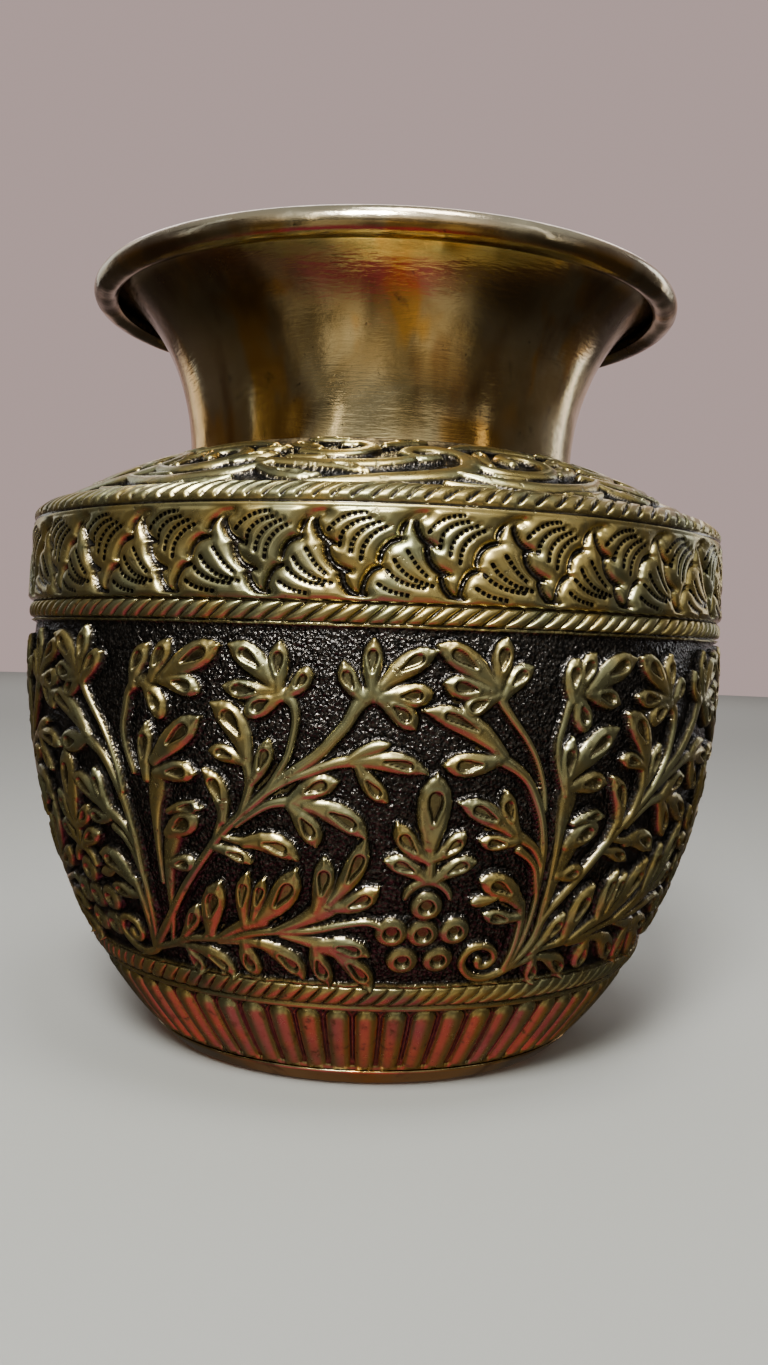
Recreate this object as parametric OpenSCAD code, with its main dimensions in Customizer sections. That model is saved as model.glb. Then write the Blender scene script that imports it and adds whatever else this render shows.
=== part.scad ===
// Brass kalash: a raised bowl and a raised shoulder lapped together at the widest
// level, a flared collar whose lip is rolled over a wire, and a foot ring, all brazed.
// Origin: centre of the foot, on the table. +Z is the axis of the pot, upwards.

/* [Belly] */
// Diameter across the widest part of the belly
belly_d = 160; // [155:1:170]
// Height of the widest level above the table
belly_level = 86; // [84:1:88]
// Vertical half-axis of the curve below the widest level
belly_drop = 105.5; // [104:0.5:108]
// Thickness of the hammered sheet
sheet = 1; // [0.8:0.1:1.3]
// How far the plain wall lies below the tops of the chased relief
relief_sink = 0.6; // [0.2:0.1:0.8]

/* [Bands] */
// Number of flutes around the bottom of the bowl
flute_count = 66; // [48:1:72]
// Radius of the groove between two flutes
flute_groove_r = 0.55; // [0.3:0.05:0.6]
// Height of the top ends of the flutes
flute_top = 18.6; // [17:0.2:19]
// Lower edge of the lower rope bead
low_rope_z = 20.5; // [20:0.1:22]
// Height of the lower rope bead
low_rope_h = 4; // [3:0.1:5]
// Height of the upper rope bead
high_rope_h = 3.5; // [3:0.1:4]
// How far a rope bead stands above its grooves
rope_rise = 0.9; // [0.4:0.1:1]

/* [Shoulder] */
// Level of the seam between the bowl and the shoulder
seam_z = 97; // [96:0.5:99]
// Length of the shoulder's skirt inside the bowl
lap = 6; // [4:1:7]
// Height of the frieze wall above the seam
frieze_h = 16.8; // [14:0.2:18]
// How much the frieze wall leans in from bottom to top
frieze_lean = 0.6; // [0:0.1:1.5]
// Rise of the shoulder from its outer edge to the neck
shoulder_rise = 15; // [12:0.5:18]
// Radius of the rounded shoulder edge
edge_r = 2.6; // [1.6:0.1:3]
// Distance of the rope bead from the shoulder edge
shoulder_rope_in = 3; // [2.6:0.1:4]
// Width of the rope bead on the shoulder
shoulder_rope_w = 7.6; // [6:0.1:9]

/* [Neck] */
// Outer radius of the neck at the seam with the shoulder
neck_r = 44.7; // [40:0.1:48]
// Height of the neck from the shoulder to the top of the lip
neck_h = 40; // [34:1:46]
// Width of the flange turned out under the shoulder
flange_w = 4; // [3:0.5:6]

/* [Lip] */
// Outer radius of the rolled lip
lip_r = 67.75; // [62:0.25:72]
// Radius of the wire inside the lip
wire_r = 1.8; // [1.2:0.1:2]
// Gap between the wire and the rolled sheet
wire_gap = 0.1; // [0.05:0.05:0.2]
// Angle through which the sheet turns around the wire
roll_turn = 240; // [200:5:250]

/* [Foot] */
// Outer radius of the foot ring on the table
foot_r = 46.3; // [45:0.1:46.6]
// Width of the face that stands on the table
foot_face_w = 2.6; // [2:0.1:3]
// Height of the bowl's bottom above the table
foot_clear = 3; // [2:0.1:3.2]
// Height of the visible foot band
foot_band_h = 4.4; // [4:0.1:5]

/* [Hidden] */
$fn = 96;

belly_r = belly_d / 2;
wall = sheet + relief_sink;
arc_steps = 6;

// The belly curve: a flattened circle whose middle is at the widest level.
function belly_at(z) = belly_r * sqrt(1 - pow((belly_level - z) / belly_drop, 2));
function inner_at(z) =
    (belly_r - wall) * sqrt(1 - pow((belly_level - z) / (belly_drop - wall), 2));
function field_at(z) = belly_at(z) - relief_sink;
function levels(low, high, count) = [for (i = [0:count]) low + (high - low) * i / count];

// A bead between two points: half a sine wave that stands up along the normal.
function bead(a, b, rise, normal) =
    [for (i = [1:arc_steps - 1]) a + (b - a) * i / arc_steps
        + normal * rise * sin(180 * i / arc_steps)];
function arc(centre, r, from, to, count) =
    [for (i = [0:count]) centre + r * [cos(from + (to - from) * i / count),
        sin(from + (to - from) * i / count)]];

// Bowl
high_rope_z = seam_z - high_rope_h;
lap_z = seam_z - lap;
lap_levels = levels(lap_z, seam_z, 3);
lap_fillet = 1;
fillet_z = lap_z - lap_fillet;
seam_notch = 0.6;
bottom_r = 47;
floor_z = foot_clear + sheet;
band_top_r = belly_at(foot_band_h) - relief_sink / 2;
flute_low = [band_top_r, foot_band_h];
flute_high = [belly_at(flute_top + 1) - relief_sink / 2, flute_top + 1];
flute_turn = 0.7;
floor_r = (belly_r - wall)
    * sqrt(1 - pow((belly_level - floor_z) / (belly_drop - wall), 2));

// Shoulder
frieze_low_r = belly_at(seam_z) + 0.3;
frieze_high_r = frieze_low_r - frieze_lean;
frieze_top_z = seam_z + frieze_h;
neck_z = frieze_top_z + edge_r / 2 + shoulder_rise;
slope = atan2(neck_z - frieze_top_z - edge_r / 2, frieze_high_r - edge_r - neck_r);
up_slope = [-cos(slope), sin(slope)];
off_slope = [sin(slope), cos(slope)];
edge_centre = [frieze_high_r - edge_r, frieze_top_z];
edge_end = edge_centre + edge_r * off_slope;
rope_start = edge_end + up_slope * shoulder_rope_in * 0.6;
rope_end = rope_start + up_slope * shoulder_rope_w;
seam_top_z = edge_end[1] + (edge_end[0] - neck_r) * tan(slope) - relief_sink;

// The underside of the shoulder is a straight cone, one sheet below the field.
under_drop = sheet / cos(slope);
function under_at(r) = seam_top_z - under_drop - (r - neck_r) * tan(slope);

// Neck and lip
top_z = seam_top_z + neck_h;
roll_in = wire_r + wire_gap;
roll_out = roll_in + sheet;
roll_centre = [lip_r - roll_out, top_z - roll_out];
flare_h = neck_h - sheet;
flare_w = roll_centre[0] - neck_r;
flare_power = 0.627;
function flare_at(t, shift) =
    [neck_r - shift + (flare_w + shift) * (1 - pow(max(0, 1 - t * t), flare_power)),
        seam_top_z + (flare_h + shift) * t];
function flare(shift) = [for (i = [0:14]) flare_at(sin(90 * i / 14), shift)];

// Revolves an outline of [radius, height] points around the axis of the pot.
module turn(outline) {
    rotate_extrude() polygon(outline);
}

module flute_grooves() {
    run = flute_high - flute_low;
    lean = atan2(run[0], run[1]);
    start = flute_low + run * 0.04;
    for (i = [0:flute_count - 1])
        rotate(360 * i / flute_count + flute_turn)
            translate([start[0], 0, start[1]])
                rotate([0, lean, 0])
                    cylinder(h = norm(run) * 0.9, r = flute_groove_r, $fn = 24);
}

module belly_bowl() {
    rope_a = [belly_at(low_rope_z) - rope_rise, low_rope_z];
    rope_b = [belly_at(low_rope_z + low_rope_h) - rope_rise, low_rope_z + low_rope_h];
    rope_c = [belly_at(high_rope_z) - rope_rise, high_rope_z];
    rope_d = [belly_at(seam_z) - rope_rise, seam_z - seam_notch / 2];
    outer = concat(
        [[0, foot_clear], [bottom_r, foot_clear], flute_low, flute_high],
        [rope_a], bead(rope_a, rope_b, rope_rise + 0.2, [0.9, -0.44]), [rope_b],
        [for (z = levels(rope_b[1] + 0.6, high_rope_z - 0.6, 24)) [field_at(z), z]],
        [rope_c], bead(rope_c, rope_d, rope_rise + 0.2, [1, 0]), [rope_d],
        [[rope_d[0] - seam_notch / 2, seam_z]]);
    inner = concat(
        [for (i = [3:-1:0]) [inner_at(lap_levels[i]), lap_levels[i]]],
        [for (i = [28:-1:1])
            let (z = floor_z + (fillet_z - floor_z) * i / 28) [inner_at(z), z]],
        [[floor_r, floor_z], [0, floor_z]]);
    color([0.50, 0.40, 0.20])
        difference() {
            turn(concat(outer, inner));
            flute_grooves();
        }
}

module shoulder_shell() {
    notch_r = belly_at(seam_z) - rope_rise - seam_notch / 2;
    wall_in_low = frieze_low_r - wall;
    wall_in_high = frieze_high_r - wall;
    field_start = rope_end - off_slope * relief_sink;
    corner_in = [wall_in_high, under_at(wall_in_high) - 0.4];
    skirt_out = [for (z = lap_levels) [inner_at(z), z]];
    skirt_in = [for (i = [3:-1:0]) [inner_at(lap_levels[i]) - sheet, lap_levels[i]]];
    outer = concat(
        skirt_out,
        [[notch_r, seam_z], [frieze_low_r, seam_z + seam_notch]],
        arc(edge_centre, edge_r, 0, 90 - slope, 5),
        [rope_start - up_slope * 0.5, rope_start - off_slope * 0.4],
        bead(rope_start - off_slope * 0.4, rope_end - off_slope * 0.4, 0.9, off_slope),
        [rope_end - off_slope * 0.4 - up_slope * 0.2, field_start + up_slope * 0.6],
        [[neck_r, seam_top_z]]);
    inner = [[neck_r, under_at(neck_r)],
        [corner_in[0] - 3, under_at(corner_in[0] - 3)],
        [corner_in[0] - 0.8, corner_in[1] - 0.3], [corner_in[0], corner_in[1] - 2.4],
        [wall_in_low, seam_z + 2 * sheet],
        [skirt_in[0][0], seam_z + 0.4 * sheet]];
    color([0.60, 0.50, 0.26]) turn(concat(outer, inner, skirt_in));
}

module neck_collar() {
    roll_from = 90;
    roll_to = 90 - roll_turn;
    flange_end = neck_r + flange_w;
    bend_r = neck_r - sheet;
    outline = concat(
        [[bend_r, under_at(neck_r) - 1.6 * sheet],
            [flange_end - 0.4, under_at(flange_end - 0.4) - under_drop],
            [flange_end, under_at(flange_end)], [neck_r, under_at(neck_r)]],
        flare(0),
        arc(roll_centre, roll_in, roll_from - 10, roll_to, 16),
        arc(roll_centre, roll_out, roll_to, roll_from, 20),
        [for (i = [13:-1:0]) flare(sheet)[i]]);
    color([0.62, 0.47, 0.24]) turn(outline);
}

module rim_wire() {
    color([0.55, 0.45, 0.25])
        rotate_extrude() translate(roll_centre) circle(r = wire_r);
}

module foot_ring() {
    inside = foot_r - foot_face_w;
    outline = [[inside, 0], [foot_r - 0.4, 0], [foot_r + 0.2, 0.5],
        [flute_low[0] - 0.1, foot_band_h - 0.5],
        flute_low + 0.15 * ([bottom_r, foot_clear] - flute_low),
        [bottom_r, foot_clear], [inside, foot_clear]];
    color([0.55, 0.42, 0.22]) turn(outline);
}

module belly_braze() {
    notch_r = belly_at(seam_z) - rope_rise - seam_notch / 2;
    bead_out = notch_r + 0.8;
    skirt_in_r = inner_at(lap_z) - sheet;
    color([0.42, 0.33, 0.18]) {
        turn([[notch_r, seam_z], [notch_r + seam_notch / 2, seam_z - seam_notch / 2],
            [bead_out, seam_z - 0.15], [bead_out, seam_z + 0.2]]);
        turn([[skirt_in_r, lap_z], [skirt_in_r + 0.3, lap_z - 0.7 * lap_fillet],
            [inner_at(fillet_z), fillet_z], [inner_at(lap_z), lap_z]]);
    }
}

module neck_braze() {
    fillet = 1.3;
    flange_end = neck_r + flange_w;
    fall = tan(slope);
    color([0.30, 0.25, 0.15]) {
        turn([[neck_r, seam_top_z], [neck_r + fillet, seam_top_z - fillet * fall],
            [neck_r + 0.5, seam_top_z + 0.2], [neck_r + 0.12, seam_top_z + 1]]);
        turn([[flange_end, under_at(flange_end)],
            [flange_end - 0.25, under_at(flange_end - 0.25) - 0.7 * sheet],
            [flange_end + fillet, under_at(flange_end + fillet)]]);
    }
}

module foot_braze() {
    fillet = 1.6;
    inside = foot_r - foot_face_w;
    color([0.42, 0.33, 0.18])
        turn([[inside, foot_clear], [inside - fillet, foot_clear],
            [inside - 0.35 * fillet, foot_clear - 0.35 * fillet],
            [inside, foot_clear - fillet]]);
}

belly_bowl();
shoulder_shell();
neck_collar();
rim_wire();
foot_ring();
belly_braze();
neck_braze();
foot_braze();
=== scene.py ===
import math

import bpy
import numpy as np
from mathutils import Matrix, Vector

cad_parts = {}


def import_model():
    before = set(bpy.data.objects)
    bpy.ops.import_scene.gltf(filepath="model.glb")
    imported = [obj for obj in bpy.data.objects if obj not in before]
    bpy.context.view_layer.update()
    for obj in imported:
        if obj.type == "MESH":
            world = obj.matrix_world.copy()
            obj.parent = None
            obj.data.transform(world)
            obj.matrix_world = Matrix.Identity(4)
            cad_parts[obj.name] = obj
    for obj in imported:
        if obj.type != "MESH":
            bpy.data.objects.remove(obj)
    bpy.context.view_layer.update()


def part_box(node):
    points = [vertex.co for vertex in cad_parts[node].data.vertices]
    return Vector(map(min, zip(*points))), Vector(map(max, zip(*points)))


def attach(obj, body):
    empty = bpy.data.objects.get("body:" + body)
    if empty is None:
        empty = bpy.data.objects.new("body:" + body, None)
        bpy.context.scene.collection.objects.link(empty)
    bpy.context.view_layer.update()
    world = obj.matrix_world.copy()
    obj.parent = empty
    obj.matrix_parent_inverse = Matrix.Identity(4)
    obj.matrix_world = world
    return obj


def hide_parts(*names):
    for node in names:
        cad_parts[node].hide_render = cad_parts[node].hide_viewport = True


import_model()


# ------------------------------------------------------------------ measures
# Everything below is in millimetres and degrees until a mesh is made. Angle 0 faces
# the camera (-Y) and grows towards +X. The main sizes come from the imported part.
def extent(node):
    """Outer radius, lowest and highest level of a node."""
    low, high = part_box(node)
    return high.x * 1000, low.z * 1000, high.z * 1000


_, BOWL_LOW, SEAM_Z = extent("belly_bowl")
FRIEZE_R, SKIRT_LOW, NECK_Z = extent("shoulder_shell")
LIP_R, _, TOP_Z = extent("neck_collar")
WIRE_OUT, WIRE_LOW, WIRE_HIGH = extent("rim_wire")
FOOT_TOP_R, FOOT_LOW, FOOT_HIGH = extent("foot_ring")

SHEET = 1.0
WALL = 2.1  # the bowl's wall, from its plain inside to the tops of the relief
FOOT_EDGE_Z = FOOT_HIGH + 0.2  # where the chased wall starts above the foot
FOOT_IN_R = 43.7
BOTTOM_R = 47.0
# The outline of the belly is an ellipse about LEVEL, with half-axes BELLY_R and DROP.
LEVEL = 0.8866 * SEAM_Z
DROP = 1.0876 * SEAM_Z
BELLY_R = (FRIEZE_R - 0.3) / math.sqrt(1 - ((LEVEL - SEAM_Z) / DROP) ** 2)
NECK_R = 0.6598 * LIP_R
FLANGE_R = NECK_R + 4.0
CONE = math.radians(25.15)  # the slope of the shoulder
CONE_FALL = math.tan(CONE)
CONE_DROP = SHEET / math.cos(CONE)
# Columns round the chased walls and round the plain ones, which are three times as coarse.
COLS = 1680
COARSE = 560
# Bands of the bowl, by level: the tops of the flutes, the low bead, and the height of the
# bead below the seam. The lengths of the vine count from VINE_ZERO_Z.
FLUTE_TOP_Z = 18.9
LOW_BEAD_Z = 20.5, 24.5
HIGH_BEAD = 3.5
VINE_ZERO_Z = 9.6
# How often each pattern repeats round the pot.
FLUTES = 66
LOW_CUTS, HIGH_CUTS, SHOULDER_CUTS = 127, 141, 132
FRIEZE_REPEATS = 28
SCROLL_REPEATS = 6
FAR = 99.0  # further than anything on the pot


def angles(columns):
    """The angles of so many columns, as one row."""
    return (np.arange(columns) * 360.0 / columns - 180.0)[None, :]


def crest(z):
    """Radius of the belly at the tops of its relief."""
    return BELLY_R * np.sqrt(1 - ((LEVEL - z) / DROP) ** 2)


def inside(z):
    """Radius of the plain inside of the bowl."""
    return (BELLY_R - WALL) * np.sqrt(1 - ((LEVEL - z) / (DROP - WALL)) ** 2)


def under(radius):
    """Level of the lower face of the shoulder's cone."""
    return NECK_Z - CONE_DROP - (radius - NECK_R) * CONE_FALL


# ------------------------------------------------------------------ relief tools
def ease(x):
    """A smooth step from 0 to 1."""
    x = np.clip(x, 0, 1)
    return x * x * (3 - 2 * x)


def dome(depth, edge):
    """0 outside a shape, rising like a quarter circle to 1 at the distance edge inside it."""
    t = np.clip(depth / edge, 0, 1)
    return np.sqrt(t * (2 - t))


def mixed(a, b, t):
    """a where t is 0 and b where it is 1."""
    return a * (1 - t) + b * t


def ridge(x, reach):
    """1 at 0, falling away on both sides within about the reach."""
    return np.exp(-(x / reach) ** 2)


def wave(theta, s, seed, count, reach, pitch=30.0):
    """Slow seeded wandering between -1 and 1 that closes around the pot."""
    rng = np.random.default_rng(seed)
    total = np.zeros(np.broadcast(theta, s).shape)
    for _ in range(count):
        turns = rng.integers(1, reach + 1)
        total += np.sin(np.radians(theta * turns) + s / pitch * rng.uniform(-2, 2)
                        + rng.uniform(0, 6.28))
    return total / math.sqrt(count * 2.0)


def blur(field, n):
    """Triangle blur over n places each way: the edges hold and the columns close."""
    span = 2 * n + 1
    for _ in range(2):
        tall = np.pad(field, ((n + 1, n), (0, 0)), mode="edge").cumsum(0)
        field = (tall[span:] - tall[:-span]) / span
        wide = np.pad(field, ((0, 0), (n + 1, n)), mode="wrap").cumsum(1)
        field = (wide[:, span:] - wide[:, :-span]) / span
    return field


def rough_field(seed, shape):
    """Fine hammered unevenness."""
    return blur(np.random.default_rng(seed).normal(0, 1, shape), 1)


def tone_of(height, floor, top):
    """0 in the patinated hollows, 1 on the worn tops; the slopes between stay darker than the
    tops, which is painted shade.
    """
    level = ease((height - floor) / (top - floor))
    cavity = height - blur(height, 4)
    return np.clip(level * (0.85 + 1.1 * np.clip(cavity, -0.6, 0.2)), 0, 1)


def curve(points, per):
    """A smooth line through the points; every column of the points is carried along."""
    p = np.array(points, float)
    p = np.vstack([2 * p[0] - p[1], p, 2 * p[-1] - p[-2]])
    t = np.linspace(0, 1, per, endpoint=False)[:, None]
    out = []
    for a, b, c, d in zip(p, p[1:], p[2:], p[3:]):
        out.append(0.5 * (2 * b + (c - a) * t + (2 * a - 5 * b + 4 * c - d) * t ** 2
                          + (3 * b - a - 3 * c + d) * t ** 3))
    return np.vstack(out + [p[-2][None]])


def segments(theta, s, k, chain):
    """For each segment of a chain of (angle, length, ...): its two ends, its length, the
    distance to it in millimetres, and how far along it the nearest place is, from 0 to 1."""
    for p, q in zip(chain[:-1], chain[1:]):
        ex, ey = (q[0] - p[0]) * k, q[1] - p[1]
        dx, dy = (theta - p[0]) * k, s - p[1]
        t = np.clip((dx * ex + dy * ey) / (ex * ex + ey * ey + 1e-9), 0, 1)
        yield p, q, np.hypot(ex, ey), np.hypot(dx - t * ex, dy - t * ey), t


class Relief:
    """Fields over an unrolled wall: rows by length along the wall, columns by angle. h is
    the height, edge the distance inside the nearest shape, eye the darkness of the leaves'
    hollows and sunk their depth."""

    def __init__(self, s, radius):
        self.s = s
        self.k = np.radians(radius)
        self.h, self.eye, self.sunk = np.zeros((3, len(s), COLS))
        self.edge = np.full((len(s), COLS), -9.0)

    def near(self, points, margin):
        """The places round a chain of [angle, length, radius], how far each lies inside
        it, and its radius there."""
        p = np.asarray(points, float)
        reach = p[:, 2].max() + margin
        rows = np.nonzero((self.s > p[:, 1].min() - reach) & (self.s < p[:, 1].max() + reach))[0]
        side = reach / self.k[rows].min()
        first = math.floor((p[:, 0].min() - side + 180) * COLS / 360)
        last = math.ceil((p[:, 0].max() + side + 180) * COLS / 360)
        cols = np.arange(first, last + 1)
        theta = (cols * 360.0 / COLS - 180.0)[None, :]
        s, k = self.s[rows][:, None], self.k[rows][:, None]
        best, width = np.full((2, len(rows), len(cols)), -FAR)
        for a, b, _, distance, t in segments(theta, s, k, p):
            r = a[2] + (b[2] - a[2]) * t
            d = r - distance
            nearer = d > best
            best, width = np.where(nearer, d, best), np.where(nearer, r, width)
        return (slice(rows[0], rows[-1] + 1), cols % COLS), best, width

    def add(self, points, height, edge=FAR, melt=0.25):
        """Raises a rounded bar along a chain of [angle, length, radius]."""
        at, d, width = self.near(points, 0.8)
        new = height * dome(d, np.clip(width, 0.15, edge)) * np.sqrt(np.clip(width / 0.6, 0.3, 1))
        old = self.h[at]
        mix = melt * ease(new / 0.3) * ease(old / 0.3) + 1e-6
        t = np.clip(0.5 + 0.5 * (new - old) / mix, 0, 1)
        self.h[at] = old + (new - old) * t + mix * t * (1 - t)
        self.edge[at] = np.maximum(self.edge[at], d)

    def sink(self, points, depth=0.65):
        """Presses a hollow with a crisp lip along a chain of [angle, length, radius]."""
        at, f, _ = self.near(points, 1.2)
        on = ease(self.h[at] / 0.4)
        fall = ease((f + 0.1) / 0.3)
        self.h[at] += (0.16 * ridge(f + 0.38, 0.3) - depth * fall) * on
        self.sunk[at] = np.maximum(self.sunk[at], depth * fall * on)
        shade = (0.48 * fall + 0.40 * ridge(f - 0.02, 0.22)) * on
        self.eye[at] = np.maximum(self.eye[at], shade)

    def lobe(self, base, tip, width, bend, eye, height):
        """An egg-shaped leaflet with a pointed end and a hollow middle."""
        k = float(np.interp((base[1] + tip[1]) / 2, self.s, self.k))
        b = np.array([base[0] * k, base[1]])
        along = np.array([tip[0] * k, tip[1]]) - b
        side = np.array([-along[1], along[0]])

        def chain(t, r):
            t = np.array(t)
            place = b + np.outer(t, along) + np.outer(4 * t * (1 - t) * bend, side)
            return np.column_stack([place[:, 0] / k, place[:, 1], r])

        half = width / 2
        shape = np.array([0.56, 0.7, 0.88, 0.98, 1.0, 0.92, 0.71, 0.46, 0.3, 0.18])
        self.add(chain([0, 0.15, 0.32, 0.48, 0.62, 0.74, 0.84, 0.92, 0.97, 1.01], half * shape),
                 height, edge=1.75, melt=0.2)
        if eye:
            hole = (0.15 + 0.36 * half) * eye
            end = 0.80 - min(hole, 1.3) / math.hypot(*along)
            self.sink(chain([max(0.26, end - 0.34), end - 0.12, end - 0.04, end],
                            hole * np.array([0.22, 0.9, 1.0, 0.92])))

    def ring(self, angle, s, outer, hole):
        """A round berry with a hole in it."""
        ends = angle - 0.01, angle + 0.01
        self.add([[a, s, outer] for a in ends], 1.45, edge=1.7)
        self.sink([[a, s, hole - 0.2] for a in ends], 0.9)


# ------------------------------------------------------------------ the vine
# One panel is drawn in two halves, in the angles at which they face the viewer: the half
# that leans right grows from RIGHT_ROOT, the half that stands and leans left from
# LEFT_ROOT, and a few lines stand up from UPRIGHT_ROOT. Stems are chains of (angle, length,
# half-width), and lengths run up the wall of the belly.
RIGHT_ROOT, LEFT_ROOT, UPRIGHT_ROOT = -38.5, 24.0, 20.8
ROOTS = (-38.5, 24.0, 81.5, 144.0, 201.5, 264.0)

RIGHT_STEMS = (
    ((-38.5, 22, 1.1), (-36, 25.5, 1.2), (-33.5, 29, 1.2), (-31, 33.2, 1.05),
     (-28.5, 37.5, 1.0), (-26, 41.5, 1.0), (-23.5, 45.5, 1.0), (-21.5, 48.8, 1.05),
     (-19.5, 51.5, 1.0), (-17.5, 54, 0.95), (-15, 57, 1.0), (-12.5, 60, 1.05),
     (-10, 62.5, 1.1), (-7, 65.5, 1.15), (-5, 68.5, 1.15), (-3.2, 71.5, 1.2),
     (-2, 74.5, 1.4), (-0.6, 76.8, 1.9), (0.6, 77, 2.0)),
    ((-14, 58.5, 0.6), (-12.5, 61.5, 0.65), (-11, 65, 0.7), (-10.2, 69, 0.75),
     (-9.9, 72, 0.8), (-10.3, 74.6, 1.0), (-11.4, 76, 1.4), (-12.4, 76.6, 1.6)),
    ((-20, 51, 0.5), (-18, 53.5, 0.7), (-16.8, 57, 0.9), (-16.2, 60, 1.1),
     (-16.6, 63.8, 1.2)),
    ((-22.3, 47.8, 0.5), (-21.4, 50.5, 0.7), (-20.6, 53, 0.9)),
    ((-14.5, 57.5, 0.6), (-11, 60.5, 0.75), (-8, 62.3, 0.9), (-5, 64, 1.1),
     (-2, 64.8, 1.3), (1, 65.2, 1.0)),
    ((-18.5, 51.5, 0.6), (-16, 54, 0.8), (-13.5, 56, 0.9), (-10.5, 56.8, 1.2),
     (-8, 56.8, 1.4)),
    ((-20.5, 49, 0.7), (-18.5, 48.6, 0.9), (-16.5, 48.6, 1.0)),
    ((-38.5, 22, 1.0), (-34, 23.8, 1.0), (-30, 26, 1.0), (-26, 26.8, 1.0),
     (-22, 27.6, 1.0), (-18, 29.2, 1.0), (-14, 30.2, 1.0), (-8, 31, 0.9),
     (-4, 32.4, 0.85), (0, 33.3, 0.85), (2.2, 32.4, 0.8)),
    ((-24, 27.3, 0.7), (-20, 30.3, 1.3), (-16, 32.6, 2.0)),
    ((-14, 30.4, 0.8), (-10, 32.7, 1.4), (-7, 35, 2.2), (-4.8, 36.8, 2.2)),
    ((-13, 29.6, 0.8), (-9, 28.6, 1.5), (-5, 27, 2.1)),
    ((-24, 26.4, 0.7), (-19, 27.2, 1.2), (-15, 26.4, 1.2)),
    ((-33, 24, 0.7), (-30.5, 24.3, 1.1), (-28, 24.0, 1.3)),
    ((-31.5, 25.6, 0.6), (-30, 27.8, 0.9)),
    ((-26.6, 27, 0.6), (-25, 29.2, 1.0)),
    ((5.5, 38.8, 0.7), (6.0, 40.2, 0.95), (7.2, 41.6, 1.1), (8.8, 42.3, 1.25),
     (10.4, 41.6, 1.1), (11.6, 40.2, 0.95), (12.1, 38.8, 0.7)),
    ((8.8, 42.6, 1.5), (8.8, 45, 1.25), (8.7, 50, 1.4)),
)
# base angle, base length, tip angle, tip length, width, bend, eye
RIGHT_LOBES = (
    (-1.2, 76, -3.9, 82.4, 3.4, 0.10, 1), (-0.2, 77.5, -0.1, 86.5, 3.6, 0.02, 1),
    (1.2, 78.3, 7.8, 84.6, 4.3, 0.06, 0.9), (1.6, 76.6, 7.6, 77.4, 4.3, -0.04, 0.9),
    (0.9, 76, 5.4, 70.9, 4.3, 0.08, 0.9),
    (-11, 76.4, -8.5, 81, 3.4, -0.10, 0.8), (-12.2, 77.2, -12.1, 85.4, 3.8, 0.03, 1),
    (-13, 78, -19.2, 84.8, 4.6, -0.07, 0.9), (-13, 76.9, -19.8, 77.3, 3.7, 0.04, 1),
    (-12, 75.8, -16.6, 72.2, 4.2, -0.05, 0.9),
    (-16.6, 64.6, -21.5, 74, 4.9, -0.14, 1), (-17, 63.6, -21.9, 65.3, 3.4, -0.06, 0.8),
    (-15.9, 60, -13.6, 68, 3.4, -0.06, 1),
    (-20.5, 52.4, -23.2, 61.8, 3.7, -0.14, 1),
    (-2.2, 64.4, 7.5, 62.9, 3.9, 0.08, 0.8), (-1.6, 63.8, 2.4, 57.4, 3.5, -0.06, 0.9),
    (-3, 64.8, 2.6, 68, 2.6, 0.06, 0),
    (-10.4, 57, -4.3, 60.8, 4.2, 0.06, 0.9), (-8.6, 56.3, -0.3, 50.5, 4.4, 0.10, 0.9),
    (-10.6, 56, -7.2, 48.4, 4.2, 0.08, 0.9),
    (-17.4, 48.2, -9.9, 45.6, 4.3, 0.14, 0.9), (-22, 46.8, -16.5, 44.4, 3.1, 0.06, 0.8),
    (-16.2, 32.8, -10.1, 43.4, 4.9, -0.08, 0.95), (-17.2, 33, -15.0, 41.4, 2.7, 0.0, 0.9),
    (-18.8, 31.4, -17.3, 42.2, 3.2, 0.05, 0.9),
    (-7.4, 35.6, -6.1, 46.2, 4.0, -0.06, 1), (-5.2, 37.6, -0.3, 50.2, 4.0, -0.07, 1),
    (-5.0, 36.2, 1.6, 40.4, 4.2, -0.10, 0.9),
    (-7, 28, 0.6, 25.8, 3.9, 0.08, 0.9), (-5.2, 27, 1.1, 18.2, 4.1, 0.06, 0.9),
    (-7.8, 27.8, -5.8, 18.8, 3.8, -0.06, 1),
    (-19.4, 27, -18.2, 19.6, 4.1, -0.05, 0.9), (-16.4, 27, -10.1, 19.9, 4.3, 0.10, 0.9),
    (-29.2, 24.3, -22.4, 18.5, 3.8, 0.13, 0.8), (-30.6, 24.3, -29.0, 18.2, 3.1, 0.0, 0.9),
    (-30.4, 27, -26.8, 33.9, 3.3, -0.05, 0.9), (-25.2, 28.4, -22.1, 39.5, 4.6, 0.05, 1),
    (-29.3, 53, -23.6, 54.1, 2.5, 0.08, 0.9),
    (8.6, 49.4, 8.9, 62.3, 5.9, 0.0, 0.95), (8.4, 46.4, 3.8, 53.2, 3.9, 0.09, 1),
    (9.2, 46.8, 13.2, 51.8, 3.6, -0.08, 0.9), (8.2, 42.6, 2.4, 46.2, 3.8, -0.08, 0.9),
    (9.6, 42.4, 15.2, 46.2, 3.8, 0.08, 0.9),
)
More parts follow.
